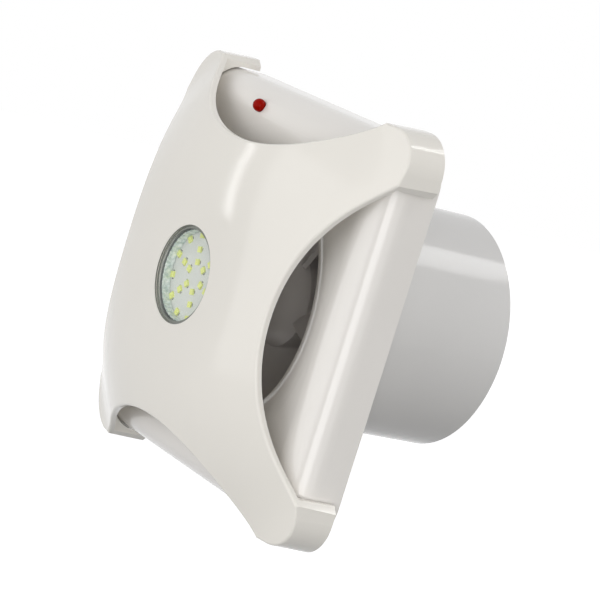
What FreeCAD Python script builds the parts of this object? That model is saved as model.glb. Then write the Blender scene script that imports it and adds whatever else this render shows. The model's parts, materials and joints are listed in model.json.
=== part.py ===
import FreeCAD, Part
import math
import os
import re

import Sketcher

# Exhaust fan for a 98 mm spigot, with a lamp in its star-shaped cover.
# The origin is on the duct's axis in the wall's plane: +Y goes into the wall and +Z is up,
# so what stands in the room has negative Y. All sizes are in millimetres and degrees.

SIZES = {
    # Duct: the spigot in the wall, its flange, the motor's cup and the wire channel
    "duct_diameter": 98,
    "duct_wall": 2.2,
    "duct_length": 78.5,
    "duct_lead_in": 1.2,
    "collar_step": 1.2,
    "flange_width": 16,
    "flange_thickness": 2.5,
    "flange_depth": 8.5,
    "flange_screw_inset": 5,
    "strut_thickness": 2,
    "strut_inset": 4,
    "strut_length": 16,
    "cup_front": 24,
    "cup_wall": 1.9,
    "cup_floor": 2,
    "cup_length": 20,
    "channel_wall": 1.5,
    "channel_setback": 10,
    "channel_slot": 20,
    # Frame: the square moulding on the wall
    "frame_flat": 0.5,
    "frame_depth": 24.5,
    "frame_wall": 2.4,
    "frame_corner": 16,
    "frame_round": 13,
    "bell_width": 6,
    "dish_width": 13.2,
    "dish_drop": 3,
    "duct_boss_diameter": 7,
    "duct_screw_diameter": 3,
    "duct_screw_blind": 3.1,
    "duct_screw_clearance": 1,
    "wall_screw_gap": 13,
    "wall_screw_hole": 4.6,
    "wall_boss_diameter": 9.4,
    "countersink": 1.8,
    "rib_thickness": 1.6,
    "rib_offset": 40,
    "rib_length": 14,
    "rib_heel": 1,
    # Cover: the domed star over the frame
    "cover_overhang": 5.2,
    "cover_draft": 2.6,
    "cover_corner": 15.5,
    "cover_back": 4.3,
    "cover_rise": 25.5,
    "cover_wall": 2.6,
    "cover_gap": 0.8,
    "cover_edge_round": 1.1,
    "shoulder_inset": 51.4,
    "shoulder_drop": 6.4,
    "flank_inset": 25.4,
    "flank_drop": 18,
    "toe_inset": 9.4,
    "toe_drop": 26.8,
    "rim_inset": -8.6,
    "rim_drop": 32.6,
    "scallop_depth": 26.4,
    "scallop_radius": 92.1,
    "window_inset": 4.5,
    "peg_width": 5,
    "peg_inset": 16.5,
    "peg_depth": 14,
    "peg_clearance": 0.3,
    "peg_socket_wall": 1.8,
    # Lamp in the middle of the cover
    "lamp_diameter": 40,
    "lens_gap": 0.3,
    "lens_recess": 1.2,
    "lens_front": 1.4,
    "lens_skirt": 1,
    "flute_count": 48,
    "flute_radius": 0.5,
    "flute_depth": 0.35,
    "lens_seat": 3.5,
    "lens_flange_width": 2.3,
    "lens_flange_thickness": 1.4,
    "gasket_width": 1.1,
    "gasket_thickness": 0.6,
    "lamp_tube_gap": 0.3,
    "lamp_tube_wall": 1.8,
    "board_setback": 6.6,
    "board_thickness": 1.6,
    "chip_width": 2.4,
    "chip_height": 0.7,
    "inner_ring_radius": 6,
    "middle_ring_radius": 11.1,
    "outer_ring_radius": 16.9,
    "chip_angle": 42,
    "housing_depth": 9,
    "housing_wall": 1.6,
    "lamp_screw_offset": 4.1,
    "lamp_screw_diameter": 2.6,
    "lamp_screw_length": 5,
    "lamp_boss_diameter": 6,
    "lamp_ear_thickness": 2,
    "driver_length": 24,
    "driver_width": 14,
    "driver_height": 4.5,
    # Plug between the cover and the frame
    "plug_angle": 143,
    "plug_gap": 9,
    "plug_length": 9,
    "plug_width": 10,
    "plug_lift": 2.5,
    "plug_height": 6,
    "pin_width": 1.2,
    "pin_spacing": 4.4,
    "pin_length": 9,
    "pin_clearance": 0.35,
    "socket_margin": 1.2,
    "socket_height": 11,
    # Impeller and shaft
    "hub_diameter": 42,
    "hub_nose": 9,
    "hub_shoulder": 2,
    "hub_back": 17,
    "hub_wall": 2,
    "hub_boss_diameter": 10,
    "blade_count": 5,
    "blade_middle": 4,
    "blade_tip_gap": 2.6,
    "root_chord": 22,
    "root_pitch": 42,
    "root_thickness": 2.2,
    "root_curve": 30,
    "tip_chord": 44,
    "tip_pitch": 62,
    "tip_thickness": 1.5,
    "tip_curve": 62,
    "shaft_diameter": 4,
    "shaft_fit": 0.03,
    "shaft_proud": 1.3,
    "nut_width": 7,
    "nut_height": 3.2,
    # Motor
    "motor_diameter": 50,
    "motor_length": 24,
    "motor_fit": 0.3,
    "can_wall": 1,
    "bearing_diameter": 13,
    "bearing_width": 5,
    "bearing_nose": 2.5,
    "bearing_lip": 1,
    "bearing_hub_wall": 1.1,
    "end_cap_thickness": 1.5,
    "vent_width": 3,
    "vent_length": 7,
    "vent_radius": 13,
    "vent_count": 6,
    "stack_length": 12,
    "stack_offset": 6,
    "stack_yoke": 4,
    "pole_width": 8,
    "pole_count": 4,
    "rotor_diameter": 23.6,
    "air_gap": 0.4,
    "coil_thickness": 2.6,
    "coil_clearance": 0.3,
    "motor_screw_inset": 8,
    "motor_screw_diameter": 3,
    "motor_screw_length": 5,
    # Wiring in the frame
    "lead_diameter": 2.2,
    "lead_gap": 0.3,
    "lead_bend": 6.6,
    "lead_stub": 9,
    "lead_slant": 17,
    "terminal_length": 20,
    "terminal_width": 9,
    "terminal_height": 9,
    "terminal_top": 2.4,
    "terminal_start": 42,
    "terminal_screw_diameter": 4,
    "terminal_screw_height": 1.4,
    "terminal_screw_pitch": 6,
    "indicator_diameter": 5.1,
    "indicator_left": 21.4,
    "indicator_inset": 9.1,
    "indicator_reach": 1.3,
    "indicator_seat": 5.4,
    "indicator_body": 7.4,
    "indicator_collar": 1.2,
    "indicator_clearance": 0.15,
    # Screw heads and the play in their holes
    "screw_head_share": 1.8,
    "screw_head_height": 2,
    "screw_play": 0.1,
}

Vector = FreeCAD.Vector
ORIGIN = Vector(0, 0, 0)
AXIS_Y = Vector(0, 1, 0)
# Turns a primitive's own Z axis into the wall
INTO_WALL = FreeCAD.Rotation(Vector(1, 0, 0), -90)
QUARTERS = (0, 90, 180, 270)
CORNERS = ((1, 1), (-1, 1), (-1, -1), (1, -1))
# Room added to cutting tools so that they pass right through
OVERCUT = 5

doc = FreeCAD.newDocument("exhaust_fan")
sheet = doc.addObject("Spreadsheet::Sheet", "sizes")
for row, (alias, dimension) in enumerate(SIZES.items(), start=1):
    sheet.set(f"A{row}", alias)
    sheet.set(f"B{row}", str(dimension))
    sheet.setAlias(f"B{row}", alias)
doc.recompute()

subparts = []


def named(text):
    """Put the sheet's name before each of its aliases in an expression."""
    return re.sub(r"[a-z_]+", lambda word: "sizes." + word[0] if word[0] in SIZES else word[0], text)


def value(text):
    """Number that a sheet expression stands for."""
    return float(sheet.evalExpression(named(text)))


def bind(item, prop, text):
    item.setExpression(prop, named(text))


def keep(item, label):
    """Register a finished sub-part under its node's name."""
    item.Label = label
    subparts.append(item)
    return item


# Sketches and features of a body


def new_body(name):
    return doc.addObject("PartDesign::Body", name)


def new_sketch(body, name, role="XZ_Plane", offset="0"):
    """Sketch on an origin plane; on XZ the offset is the depth in front of the wall."""
    plane = next(item for item in body.Origin.OriginFeatures if item.Role == role)
    sketch = body.newObject("Sketcher::SketchObject", name)
    sketch.AttachmentSupport = [(plane, "")]
    sketch.MapMode = "FlatFace"
    bind(sketch, "AttachmentOffset.Base.z", offset)
    return sketch


def drive(sketch, constraint, text):
    index = sketch.addConstraint(constraint)
    bind(sketch, f"Constraints[{index}]", text)


def pin(sketch, geometry, spot, x, y):
    """Hold a geometry's point at the place that two expressions give."""
    for kind, text in (("DistanceX", x), ("DistanceY", y)):
        drive(sketch, Sketcher.Constraint(kind, -1, 1, geometry, spot, value(text)), text)


def arc_between(start, end, radius, turn):
    """Short arc from start to end that bends left (turn 1) or right (turn -1)."""
    middle = (start + end) / 2
    chord = end - start
    rise = math.sqrt(max(radius**2 - chord.Length**2 / 4, 0))
    left = Vector(-chord.y, chord.x, 0).normalize()
    center = middle + left * rise * turn
    first, last = (start, end) if turn > 0 else (end, start)
    angles = [math.atan2(spot.y - center.y, spot.x - center.x) for spot in (first, last)]
    return Part.ArcOfCircle(Part.Circle(center, Vector(0, 0, 1), radius), *angles)


def outline(sketch, vertices):
    """Close a profile of lines and arcs through vertices given as sheet expressions.

    A vertex is (x, y), or (x, y, radius, turn) where an arc leads to the next one.
    """
    spots = [Vector(value(vertex[0]), value(vertex[1]), 0) for vertex in vertices]
    ends = []
    for vertex, start, end in zip(vertices, spots, spots[1:] + spots[:1]):
        if len(vertex) == 2:
            index = sketch.addGeometry(Part.LineSegment(start, end), False)
            ends.append((index, 1, 2))
            continue
        radius, turn = vertex[2:]
        index = sketch.addGeometry(arc_between(start, end, value(radius), turn), False)
        drive(sketch, Sketcher.Constraint("Radius", index, value(radius)), radius)
        ends.append((index, 1, 2) if turn > 0 else (index, 2, 1))
    for vertex, (index, start, end), following in zip(vertices, ends, ends[1:] + ends[:1]):
        sketch.addConstraint(Sketcher.Constraint("Coincident", index, end, following[0], following[1]))
        pin(sketch, index, start, vertex[0], vertex[1])


def rectangle(sketch, left, right, bottom, top):
    outline(sketch, [(left, bottom), (right, bottom), (right, top), (left, top)])


def rounded_square(sketch, half, corner):
    flat = f"({half} - {corner})"
    outline(sketch, [
        (half, f"-{flat}"),
        (half, flat, corner, 1),
        (flat, half),
        (f"-{flat}", half, corner, 1),
        (f"-({half})", flat),
        (f"-({half})", f"-{flat}", corner, 1),
        (f"-{flat}", f"-({half})"),
        (flat, f"-({half})", corner, 1),
    ])


def circle(sketch, radius, x="0", y="0"):
    center = Vector(value(x), value(y), 0)
    index = sketch.addGeometry(Part.Circle(center, Vector(0, 0, 1), value(radius)), False)
    drive(sketch, Sketcher.Constraint("Radius", index, value(radius)), radius)
    pin(sketch, index, 3, x, y)


def pad(body, sketch, length, into_wall=False):
    """Raise a sketch towards the room, or into the wall."""
    feature = body.newObject("PartDesign::Pad", "pad")
    feature.Profile = sketch
    bind(feature, "Length", length)
    feature.Reversed = into_wall
    return feature


def pocket(body, sketch, length, into_wall=False):
    """Cut a sketch towards the room, or into the wall, and see that it took material away."""
    doc.recompute()
    before = body.Shape.Volume
    feature = body.newObject("PartDesign::Pocket", "pocket")
    feature.Profile = sketch
    bind(feature, "Length", length)
    feature.Reversed = not into_wall
    doc.recompute()
    if body.Shape.Volume >= before:
        raise RuntimeError(f"{body.Label}: a pocket cut nothing")
    return feature


def revolve(body, sketch):
    feature = body.newObject("PartDesign::Revolution", "revolution")
    feature.Profile = sketch
    feature.ReferenceAxis = (sketch, ["V_Axis"])
    feature.Angle = 360
    return feature


def polar(body, feature, count):
    pattern = body.newObject("PartDesign::PolarPattern", "pattern")
    pattern.Originals = [feature]
    axis = next(item for item in body.Origin.OriginFeatures if item.Role == "Y_Axis")
    pattern.Axis = (axis, [""])
    pattern.Angle = 360
    bind(pattern, "Occurrences", count)
    body.Tip = pattern
    return pattern


def dress(body, kind, base, prop, amount, wanted):
    """Fillet or chamfer those edges of a feature that a test picks."""
    doc.recompute()
    edges = [f"Edge{i}" for i, edge in enumerate(base.Shape.Edges, start=1) if wanted(edge)]
    feature = body.newObject(f"PartDesign::{kind}", kind.lower())
    feature.Base = (base, edges)
    bind(feature, prop, amount)
    return feature


def lies_at_depth(depth):
    return lambda edge: all(abs(vertex.Y + depth) < 1e-6 for vertex in edge.Vertexes)


# Primitives and booleans


def cylinder(name, radius, start, length, x="0", z="0"):
    """Cylinder along +Y from y = start."""
    item = doc.addObject("Part::Cylinder", name)
    bind(item, "Radius", radius)
    bind(item, "Height", length)
    item.Placement = FreeCAD.Placement(ORIGIN, INTO_WALL)
    for prop, text in (("x", x), ("y", start), ("z", z)):
        bind(item, f"Placement.Base.{prop}", text)
    return item


def box(name, x, y, z):
    """Box between the two expressions given for each axis."""
    item = doc.addObject("Part::Box", name)
    for side, prop, (low, high) in (("Length", "x", x), ("Width", "y", y), ("Height", "z", z)):
        bind(item, side, f"({high}) - ({low})")
        bind(item, f"Placement.Base.{prop}", low)
    return item


def cut(name, base, tool):
    item = doc.addObject("Part::Cut", name)
    item.Base = base
    item.Tool = tool
    return item


def fuse(name, items):
    item = doc.addObject("Part::MultiFuse", name)
    item.Shapes = items
    return item


def common(name, items):
    item = doc.addObject("Part::MultiCommon", name)
    item.Shapes = items
    return item


def rounded(name, base, radius, wanted):
    """Round those edges of a solid that a test picks."""
    doc.recompute()
    item = doc.addObject("Part::Fillet", name)
    item.Base = base
    item.Edges = [(i, radius, radius) for i, edge in enumerate(base.Shape.Edges, start=1) if wanted(edge)]
    return item


def solid(name, shape):
    item = doc.addObject("Part::Feature", name)
    item.Shape = shape
    item.Placement = FreeCAD.Placement()
    return item


def group(name, base, placements):
    """Copies of one piece, kept together as a group of solids."""
    doc.recompute()
    copies = []
    for placement in placements:
        copy = base.Shape.copy()
        copy.Placement = placement.multiply(copy.Placement)
        copies.append(copy)
    return solid(name, Part.makeCompound(copies))


def around_axis(angle):
    """Turn about the duct's axis, counted from +X towards +Z."""
    return FreeCAD.Placement(ORIGIN, FreeCAD.Rotation(AXIS_Y, -angle))


def on_circle(radius, angle, y=0):
    spread = math.radians(angle)
    return Vector(radius * math.cos(spread), y, radius * math.sin(spread))


def screw(name, diameter, length, start, into_wall):
    """Pan head screw whose head seats at y = start."""
    head_start = f"{start} - screw_head_height" if into_wall else start
    shank_start = start if into_wall else f"{start} - {length}"
    head = cylinder(f"{name}_head", f"{diameter} / 2 * screw_head_share", head_start, "screw_head_height")
    shank = cylinder(f"{name}_shank", f"{diameter} / 2", shank_start, length)
    return fuse(name, [head, shank])


def lead(label, points, bends):
    """Round wire through points: straight runs joined by tangent arcs of the given radii."""
    edges = []
    start = points[0]
    for before, corner, after, bend in zip(points, points[1:], points[2:], bends):
        inward = (before - corner).normalize()
        outward = (after - corner).normalize()
        half_turn = (math.pi - inward.getAngle(outward)) / 2
        reach = bend * math.tan(half_turn)
        middle = (inward + outward).normalize() * (bend / math.cos(half_turn) - bend)
        edges.append(Part.LineSegment(start, corner + inward * reach).toShape())
        start = corner + outward * reach
        edges.append(Part.Arc(corner + inward * reach, corner + middle, start).toShape())
    edges.append(Part.LineSegment(start, points[-1]).toShape())
    path = Part.Wire(edges)
    radius = value("lead_diameter / 2")
    ring = Part.Wire(Part.Circle(points[0], points[1] - points[0], radius).toShape())
    tube = path.makePipeShell([ring], True, False)
    expected = math.pi * radius**2 * path.Length
    print(f"{label}: bends {bends}, volume {tube.Volume:.1f} of {expected:.1f}")
    return keep(solid(label, tube), label)


# Places that several pieces share

DUCT_BORE = "(duct_diameter / 2 - duct_wall)"
FLANGE_RADIUS = "(duct_diameter / 2 + flange_width)"
FLANGE_BACK = "(flange_depth - flange_thickness)"
INTAKE_RADIUS = f"({DUCT_BORE} + bell_width)"
DISH_RADIUS = f"({INTAKE_RADIUS} + dish_width)"
FRAME_HALF = f"({DISH_RADIUS} + frame_flat + frame_round)"
FRAME_INSIDE = f"({FRAME_HALF} - frame_wall)"
PLATE_BACK = "(frame_depth - frame_wall)"
DUCT_SCREW_RADIUS = f"({FLANGE_RADIUS} - flange_screw_inset)"
PILOT_END = f"({PLATE_BACK} - duct_screw_blind)"
DUCT_SCREW_LENGTH = f"({PILOT_END} - {FLANGE_BACK} - duct_screw_clearance)"
PEG_PLACE = f"({FRAME_HALF} - peg_inset)"
WALL_SCREW_PLACE = f"({PEG_PLACE} - wall_screw_gap)"
MOTOR_FRONT = "(cup_front + cup_floor)"
MOTOR_BACK = "(cup_front + cup_floor + motor_length)"
FRONT_BEARING = f"({MOTOR_FRONT} - bearing_nose)"
REAR_BEARING = f"({MOTOR_BACK} + bearing_nose - bearing_width)"
STACK_FRONT = f"({MOTOR_FRONT} + stack_offset)"
CAN_INSIDE = "(motor_diameter / 2 - can_wall)"
BLADE_TIP = f"({DUCT_BORE} - blade_tip_gap)"
COVER_HALF = f"({FRAME_HALF} + cover_overhang)"
COVER_FRONT = "(frame_depth + cover_rise)"
CORNER_REACH = f"(({COVER_HALF} - cover_corner) * sqrt(2) + cover_corner)"
SCALLOP_DISTANCE = f"({COVER_HALF} - scallop_depth + scallop_radius)"
# Where a scallop meets the inside of the cover's side wall
LOBE_END = "sqrt(scallop_radius ^ 2 - (scallop_radius - scallop_depth + cover_wall) ^ 2)"
BOARD_FRONT = f"({COVER_FRONT} - board_setback)"
BOARD_BACK = f"({BOARD_FRONT} - board_thickness)"
LENS_RADIUS = "(lamp_diameter / 2 - lens_gap)"
LENS_FLANGE_RADIUS = "(lamp_diameter / 2 + lens_flange_width)"
LAMP_TUBE_INSIDE = f"({LENS_FLANGE_RADIUS} + lamp_tube_gap)"
LAMP_TUBE_OUTSIDE = f"({LAMP_TUBE_INSIDE} + lamp_tube_wall)"
LAMP_SCREW_RADIUS = f"({LAMP_TUBE_OUTSIDE} + lamp_screw_offset)"
PLUG_DISTANCE = f"({DISH_RADIUS} + plug_gap)"
PLUG_BACK = "(frame_depth + plug_lift)"
PLUG_FRONT = f"({PLUG_BACK} + plug_height)"
INDICATOR_UP = f"({FRAME_HALF} - indicator_inset)"
MOTOR_SCREW_RADIUS = "(motor_diameter / 2 - motor_screw_inset)"
CHANNEL_END = f"({MOTOR_BACK} - channel_setback)"
# The wire channel lies on the duct's left, beside a strut
LEAD_RADIUS = "(lead_diameter / 2)"
LEAD_TRACK = "(duct_diameter / 2 - lead_diameter / 2 - lead_gap)"
LEAD_SIDE = "(strut_thickness / 2 + lead_gap + lead_diameter / 2)"
CHANNEL_FLOOR = f"({LEAD_TRACK} - {LEAD_RADIUS} - lead_gap)"
CHANNEL_HALF = f"({LEAD_RADIUS} + lead_gap)"


def make_front_frame():
    body = new_body("frame_body")
    block_sketch = new_sketch(body, "frame_outline")
    rounded_square(block_sketch, FRAME_HALF, "frame_corner")
    pad(body, block_sketch, "frame_depth")
    hollow_sketch = new_sketch(body, "frame_hollow")
    rounded_square(hollow_sketch, FRAME_INSIDE, "(frame_corner - frame_wall)")
    hollow = pocket(body, hollow_sketch, PLATE_BACK)
    inner_round = dress(body, "Fillet", hollow, "Radius", "frame_round - frame_wall",
                        lies_at_depth(value(PLATE_BACK)))
    dress(body, "Fillet", inner_round, "Radius", "frame_round", lies_at_depth(value("frame_depth")))

    opening = new_sketch(body, "frame_opening")
    circle(opening, DISH_RADIUS)
    pocket(body, opening, f"frame_depth + {OVERCUT}")
    make_dish(body)

    duct_bosses = new_sketch(body, "duct_bosses", offset="flange_depth")
    wall_bosses = new_sketch(body, "wall_bosses")
    peg_sockets = new_sketch(body, "peg_sockets", offset="peg_depth")
    socket_half = "(peg_width / 2 + peg_clearance + peg_socket_wall)"
    for across, up in CORNERS:
        circle(duct_bosses, "duct_boss_diameter / 2", *diagonal(DUCT_SCREW_RADIUS, across, up))
        circle(wall_bosses, "wall_boss_diameter / 2", *corner(WALL_SCREW_PLACE, across, up))
        square_at(peg_sockets, socket_half, *corner(PEG_PLACE, across, up))
    pad(body, duct_bosses, f"{PLATE_BACK} - flange_depth")
    pad(body, wall_bosses, PLATE_BACK)
    pad(body, peg_sockets, f"{PLATE_BACK} - peg_depth")
    make_frame_ribs(body)
    make_frame_holes(body)
    keep(body, "front_frame")


def corner(half, across, up):
    """Place of one of four points at the corners of a square."""
    return f"{across} * {half}", f"{up} * {half}"


def diagonal(radius, across, up):
    """Place of one of four points on the diagonals of a circle."""
    return f"{across} * {radius} * sqrt(2) / 2", f"{up} * {radius} * sqrt(2) / 2"


def square_at(sketch, half, x, y):
    rectangle(sketch, f"{x} - {half}", f"{x} + {half}", f"{y} - {half}", f"{y} + {half}")


def make_dish(body):
    """Dished ring round the intake, and the bell mouth that leads to the duct."""
    lip = "(frame_depth - dish_drop)"
    mouth_depth = f"({lip} - flange_depth)"
    back_depth = f"({lip} - frame_wall - flange_depth)"
    sketch = new_sketch(body, "dish_profile", "XY_Plane")
    outline(sketch, [
        (DISH_RADIUS, "-frame_depth", "(dish_width^2 + dish_drop^2) / (2 * dish_drop)", -1),
        (INTAKE_RADIUS, f"-{lip}", f"(bell_width^2 + {mouth_depth}^2) / (2 * bell_width)", -1),
        (DUCT_BORE, "-flange_depth"),
        (f"{DUCT_BORE} + frame_wall", "-flange_depth",
         f"(bell_width^2 + {back_depth}^2) / (2 * bell_width)", 1),
        (f"{INTAKE_RADIUS} + frame_wall", f"-({lip} - frame_wall)"),
        (DISH_RADIUS, f"-{PLATE_BACK}"),
    ])
    revolve(body, sketch)


def make_frame_ribs(body):
    """Gussets that stiffen the rounded edge from inside, two on each side."""
    outer = f"({FRAME_INSIDE} + frame_wall / 2)"
    inner = f"({FRAME_INSIDE} - rib_length)"
    middle = "(frame_depth - frame_wall / 2)"
    pads = []
    for offset in ("rib_offset", "-rib_offset"):
        sketch = new_sketch(body, "rib", "XY_Plane", offset)
        outline(sketch, [
            (outer, "-(frame_depth - frame_round)", "frame_round - frame_wall / 2", -1),
            (f"{FRAME_HALF} - frame_round", f"-{middle}"),
            (inner, f"-{middle}"),
            (inner, f"-{PLATE_BACK} + rib_heel"),
        ])
        feature = pad(body, sketch, "rib_thickness")
        feature.Midplane = True
        pads.append(feature)
    pattern = polar(body, pads[0], str(len(QUARTERS)))
    pattern.Originals = pads


def make_frame_holes(body):
    """Holes for the screws, the cover's pegs, the lamp's socket and the indicator."""
    pilots = new_sketch(body, "duct_screw_pilots", offset="flange_depth")
    pegs = new_sketch(body, "peg_holes")
    walls = new_sketch(body, "wall_screw_holes")
    for across, up in CORNERS:
        circle(pilots, "duct_screw_diameter / 2 + screw_play / 2",
               *diagonal(DUCT_SCREW_RADIUS, across, up))
        square_at(pegs, "(peg_width / 2 + peg_clearance)", *corner(PEG_PLACE, across, up))
        circle(walls, "wall_screw_hole / 2", *corner(WALL_SCREW_PLACE, across, up))
    pocket(body, pilots, f"{PILOT_END} - flange_depth")
    pocket(body, pegs, f"frame_depth + {OVERCUT}")
    through = pocket(body, walls, f"frame_depth + {OVERCUT}")
    at_front = lies_at_depth(value("frame_depth"))
    hole = value("wall_screw_hole")
    dress(body, "Chamfer", through, "Size", "countersink",
          lambda edge: at_front(edge) and abs(edge.BoundBox.XLength - hole) < 1e-3)
    plug = new_sketch(body, "socket_window")
    outline(plug, turned_rectangle("plug_length / 2 + socket_margin", "plug_width / 2 + socket_margin"))
    circle(plug, "indicator_diameter / 2 + indicator_clearance", "-indicator_left", INDICATOR_UP)
    pocket(body, plug, f"frame_depth + {OVERCUT}")


def turned_rectangle(half_length, half_width):
    """Rectangle round the lamp's plug, its length pointing away from the axis."""
    along = ("cos(plug_angle)", "sin(plug_angle)")
    across = ("-sin(plug_angle)", "cos(plug_angle)")
    vertices = []
    for length_sign, width_sign in ((1, -1), (1, 1), (-1, 1), (-1, -1)):
        reach = f"({PLUG_DISTANCE} + {length_sign} * ({half_length}))"
        side = f"({width_sign} * ({half_width}))"
        vertices.append(tuple(f"{reach} * {along[i]} + {side} * {across[i]}" for i in (0, 1)))
    return vertices


def make_fan_duct():
    body = new_body("duct_body")
    outside = "duct_diameter / 2"
    tube = new_sketch(body, "duct_profile", "XY_Plane")
    outline(tube, [
        (DUCT_BORE, "-flange_depth"),
        (FLANGE_RADIUS, "-flange_depth"),
        (FLANGE_RADIUS, f"-{FLANGE_BACK}"),
        (f"{outside} + collar_step", f"-{FLANGE_BACK}"),
        (f"{outside} + collar_step", "0"),
        (outside, "0"),
        (outside, "duct_length - duct_lead_in"),
        (f"{outside} - duct_lead_in", "duct_length"),
        (DUCT_BORE, "duct_length"),
    ])
    revolve(body, tube)
    make_wire_channel(body)

    struts = new_sketch(body, "struts", offset="-(cup_front + strut_inset)")
    near = "(motor_diameter / 2 + motor_fit + cup_wall / 2)"
    far = f"({DUCT_BORE} + duct_wall / 2)"
    half = "strut_thickness / 2"
    rectangle(struts, near, far, f"-{half}", half)
    rectangle(struts, f"-{far}", f"-{near}", f"-{half}", half)
    rectangle(struts, f"-{half}", half, near, far)
    rectangle(struts, f"-{half}", half, f"-{far}", f"-{near}")
    pad(body, struts, "strut_length", into_wall=True)

    cup = new_sketch(body, "cup_profile", "XY_Plane")
    inside = "(motor_diameter / 2 + motor_fit)"
    hub_hole = "bearing_diameter / 2 + bearing_hub_wall + motor_fit"
    outline(cup, [
        (hub_hole, "cup_front"),
        (f"{inside} + cup_wall", "cup_front"),
        (f"{inside} + cup_wall", "cup_front + cup_length"),
        (inside, "cup_front + cup_length"),
        (inside, MOTOR_FRONT),
        (hub_hole, MOTOR_FRONT),
    ])
    revolve(body, cup)

    holes = new_sketch(body, "motor_screw_holes", offset="-cup_front")
    for sign in ("", "-"):
        circle(holes, "motor_screw_diameter / 2 + screw_play / 2", f"{sign}{MOTOR_SCREW_RADIUS}")
    pocket(body, holes, "cup_floor", into_wall=True)
    flange_holes = new_sketch(body, "flange_holes", offset="flange_depth")
    for across, up in CORNERS:
        circle(flange_holes, "duct_screw_diameter / 2 + screw_play", *diagonal(DUCT_SCREW_RADIUS, across, up))
    pocket(body, flange_holes, "flange_thickness", into_wall=True)
    keep(body, "fan_duct")


def make_wire_channel(body):
    """Channel moulded into the duct's left side, where the motor's wire passes the impeller."""
    low = f"{LEAD_SIDE} - {CHANNEL_HALF}"
    high = f"{LEAD_SIDE} + {CHANNEL_HALF}"
    bump = new_sketch(body, "channel_bump", offset="flange_depth")
    rectangle(bump, f"-({DUCT_BORE} + duct_wall / 2)", f"-({CHANNEL_FLOOR} - channel_wall)",
              f"{low} - channel_wall", f"{high} + channel_wall")
    pad(body, bump, f"flange_depth + {CHANNEL_END} + channel_wall", into_wall=True)
    track = new_sketch(body, "channel_track", offset=FLANGE_BACK)
    rectangle(track, f"-(duct_diameter / 2 + {OVERCUT})", f"-{CHANNEL_FLOOR}", low, high)
    pocket(body, track, f"{FLANGE_BACK} + {CHANNEL_END}", into_wall=True)
    slot = new_sketch(body, "channel_slot", offset=f"-({CHANNEL_END} - channel_slot)")
    rectangle(slot, f"-(duct_diameter / 2 + {OVERCUT})", f"-({CHANNEL_FLOOR} - {OVERCUT})", low, high)
    pocket(body, slot, "channel_slot", into_wall=True)


def make_motor():
    hub = "(bearing_diameter / 2 + bearing_hub_wall)"
    seat = "bearing_diameter / 2"
    shaft_hole = "(shaft_diameter / 2 + motor_fit)"
    can = new_body("can_body")
    profile = new_sketch(can, "can_profile", "XY_Plane")
    outline(profile, [
        (shaft_hole, f"{FRONT_BEARING} - bearing_lip"),
        (hub, f"{FRONT_BEARING} - bearing_lip"),
        (hub, MOTOR_FRONT),
        ("motor_diameter / 2", MOTOR_FRONT),
        ("motor_diameter / 2", MOTOR_BACK),
        (CAN_INSIDE, MOTOR_BACK),
        (CAN_INSIDE, f"{MOTOR_FRONT} + can_wall"),
        (hub, f"{MOTOR_FRONT} + can_wall"),
        (hub, f"{FRONT_BEARING} + bearing_width"),
        (seat, f"{FRONT_BEARING} + bearing_width"),
        (seat, FRONT_BEARING),
        (shaft_hole, FRONT_BEARING),
    ])
    revolve(can, profile)
    holes = new_sketch(can, "can_screw_holes", offset=f"-{MOTOR_FRONT}")
    for sign in ("", "-"):
        circle(holes, "motor_screw_diameter / 2 + screw_play / 2", f"{sign}{MOTOR_SCREW_RADIUS}")
    pocket(can, holes, "can_wall", into_wall=True)
    keep(can, "motor_can")

    end_cap = new_body("end_cap_body")
    back_face = f"({REAR_BEARING} + bearing_width)"
    profile = new_sketch(end_cap, "end_cap_profile", "XY_Plane")
    outline(profile, [
        (seat, REAR_BEARING),
        (hub, REAR_BEARING),
        (hub, MOTOR_BACK),
        ("motor_diameter / 2", MOTOR_BACK),
        ("motor_diameter / 2", f"{MOTOR_BACK} + end_cap_thickness"),
        (hub, f"{MOTOR_BACK} + end_cap_thickness"),
        (hub, f"{back_face} + bearing_lip"),
        (shaft_hole, f"{back_face} + bearing_lip"),
        (shaft_hole, back_face),
        (seat, back_face),
    ])
    revolve(end_cap, profile)
    vent = new_sketch(end_cap, "vent", offset=f"-{MOTOR_BACK}")
    rectangle(vent, "vent_radius", "vent_radius + vent_length", "-vent_width / 2", "vent_width / 2")
    slot = pocket(end_cap, vent, "end_cap_thickness", into_wall=True)
    polar(end_cap, slot, "vent_count")
    keep(end_cap, "motor_end_cap")

    for label, start in (("front_bearing", FRONT_BEARING), ("rear_bearing", REAR_BEARING)):
        ring = cylinder(f"{label}_ring", f"{seat} - shaft_fit", start, "bearing_width")
        bore = cylinder(f"{label}_bore", "shaft_diameter / 2 + shaft_fit", start, "bearing_width")
        keep(cut(f"{label}_cut", ring, bore), label)

    base = screw("motor_screw", "motor_screw_diameter", "motor_screw_length", "cup_front", into_wall=True)
    reach = value(MOTOR_SCREW_RADIUS)
    spots = [FreeCAD.Placement(on_circle(reach, angle), FreeCAD.Rotation()) for angle in (0, 180)]
    keep(group("motor_screw_group", base, spots), "motor_screws")
    make_stator()


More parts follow.
